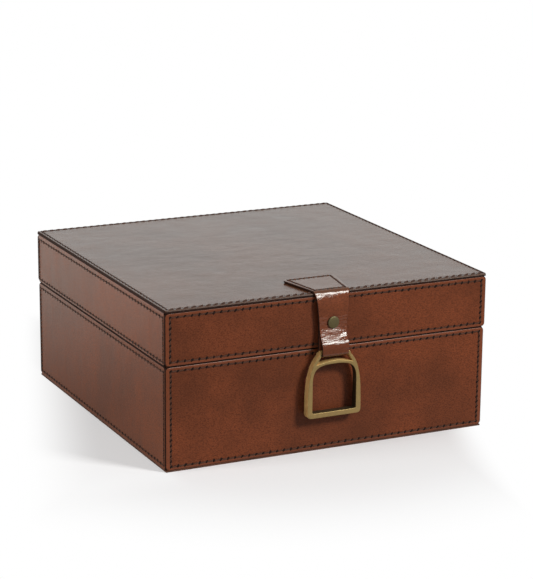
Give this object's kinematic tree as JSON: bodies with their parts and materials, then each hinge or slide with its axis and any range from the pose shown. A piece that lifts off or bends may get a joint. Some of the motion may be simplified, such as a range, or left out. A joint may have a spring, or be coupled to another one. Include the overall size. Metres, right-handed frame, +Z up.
{
  "type": "leather box",
  "caption": "Square leather-covered box for papers and keepsakes, with stitched edges, a hinged lid and a leather pull that carries a small brass stirrup.",
  "frame": {"origin": "middle of the underside", "axes": "+X along the front to the right, +Y from the front to the back, +Z up"},
  "size_m": [0.305, 0.3208, 0.1419],
  "materials": {
    "leather": "glossy vegetable-tanned hide",
    "dark_leather": "matt dark panel",
    "board": "bare board",
    "suede": "napped suede",
    "brass": "satin",
    "rivet_brass": "antique"
  },
  "bodies": {
    "base": {"base_bottom_board": "board", "base_leather_back": "leather", "base_leather_front": "leather", "base_leather_left": "leather", "base_leather_right": "leather", "base_lining_back": "suede", "base_lining_floor": "suede", "base_lining_front": "suede", "base_lining_left": "suede", "base_lining_right": "suede", "base_rim_leather": "leather", "base_underside_panel": "dark_leather", "base_wall_back": "board", "base_wall_front": "board", "base_wall_left": "board", "base_wall_right": "board", "hinge_left_base_leaf": "brass", "hinge_left_base_screw_1": "brass", "hinge_left_base_screw_2": "brass", "hinge_left_pin": "brass", "hinge_right_base_leaf": "brass", "hinge_right_base_screw_1": "brass", "hinge_right_base_screw_2": "brass", "hinge_right_pin": "brass"},
    "lid": {"hinge_left_lid_leaf": "brass", "hinge_left_lid_screw_1": "brass", "hinge_left_lid_screw_2": "brass", "hinge_right_lid_leaf": "brass", "hinge_right_lid_screw_1": "brass", "hinge_right_lid_screw_2": "brass", "lid_leather_back": "leather", "lid_leather_front": "leather", "lid_leather_left": "leather", "lid_leather_right": "leather", "lid_leather_top": "leather", "lid_lining_back": "suede", "lid_lining_front": "suede", "lid_lining_left": "suede", "lid_lining_right": "suede", "lid_lining_top": "suede", "lid_rim_leather": "leather", "lid_top_board": "board", "lid_wall_back": "board", "lid_wall_front": "board", "lid_wall_left": "board", "lid_wall_right": "board", "strap_tab": "leather"},
    "strap": {"strap_hanging": "leather", "rivet_cap": "rivet_brass", "rivet_burr": "rivet_brass"},
    "stirrup": {"stirrup": "brass"}
  },
  "joints": [
    {"name": "lid_hinge", "type": "hinge", "parent": "base", "child": "lid", "pos_m": [0, 0.1553, 0.0915], "axis": [-1, 0, 0], "range_deg": [0, 98]},
    {"name": "strap_flex", "type": "hinge", "parent": "lid", "child": "strap", "pos_m": [0, -0.154, 0.1355], "axis": [-1, 0, 0], "range_deg": [0, 75]},
    {"name": "stirrup_swing", "type": "hinge", "parent": "strap", "child": "stirrup", "pos_m": [0, -0.15755, 0.0886], "axis": [-1, 0, 0], "range_deg": [0, 100]}
  ]
}
